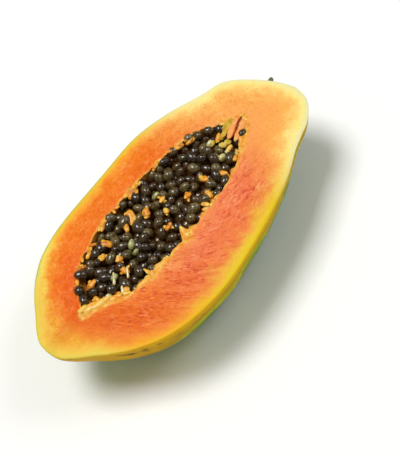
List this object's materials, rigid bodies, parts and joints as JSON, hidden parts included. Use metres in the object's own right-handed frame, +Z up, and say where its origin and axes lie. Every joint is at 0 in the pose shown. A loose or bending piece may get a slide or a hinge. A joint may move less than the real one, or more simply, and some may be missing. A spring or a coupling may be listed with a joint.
{
  "type": "half papaya",
  "caption": "Ripe papaya cut in half lengthwise, lying on its back with the cut face up and black seeds filling its cavity.",
  "frame": {"origin": "on the surface that it rests on, under the middle of the bounding box", "axes": "+X from the blossom tip to the stem end, +Z up and square to the cut face"},
  "size_m": [0.2189, 0.1157, 0.0538],
  "materials": {
    "flesh": "moist cut flesh, orange inside and yellow under the skin",
    "skin": "waxy ripe skin, yellow at the cut edge and green with yellow patches on the back",
    "stalk": "dry woody stub",
    "seeds": "wet black seeds in a clear coat"
  },
  "bodies": {
    "root": {"papaya_half": "flesh", "seeds": "seeds"}
  },
  "joints": []
}
